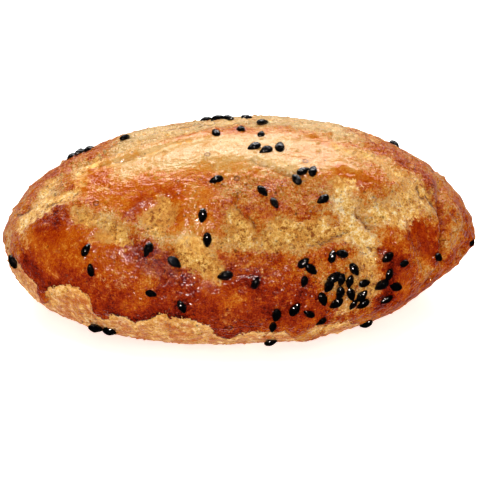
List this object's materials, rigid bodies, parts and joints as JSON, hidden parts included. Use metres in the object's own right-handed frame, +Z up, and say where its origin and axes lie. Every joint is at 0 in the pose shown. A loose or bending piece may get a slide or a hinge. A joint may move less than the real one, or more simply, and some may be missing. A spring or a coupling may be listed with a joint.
{
  "type": "bread roll",
  "caption": "Oval hand-shaped bread roll with a broad end and a pinched end, a glossy egg-washed crust scattered with black seeds, and a flat underside to rest on.",
  "frame": {"origin": "on the table, under the middle of the roll's length and width", "axes": "+X along the roll to its pinched tip, -Y to the front that the picture shows, +Z up"},
  "size_m": [0.1058, 0.0614, 0.0415],
  "materials": {
    "crust": "glossy egg wash over matte baked dough",
    "seeds": "satin"
  },
  "bodies": {
    "root": {"bread_roll": "crust"}
  },
  "joints": []
}
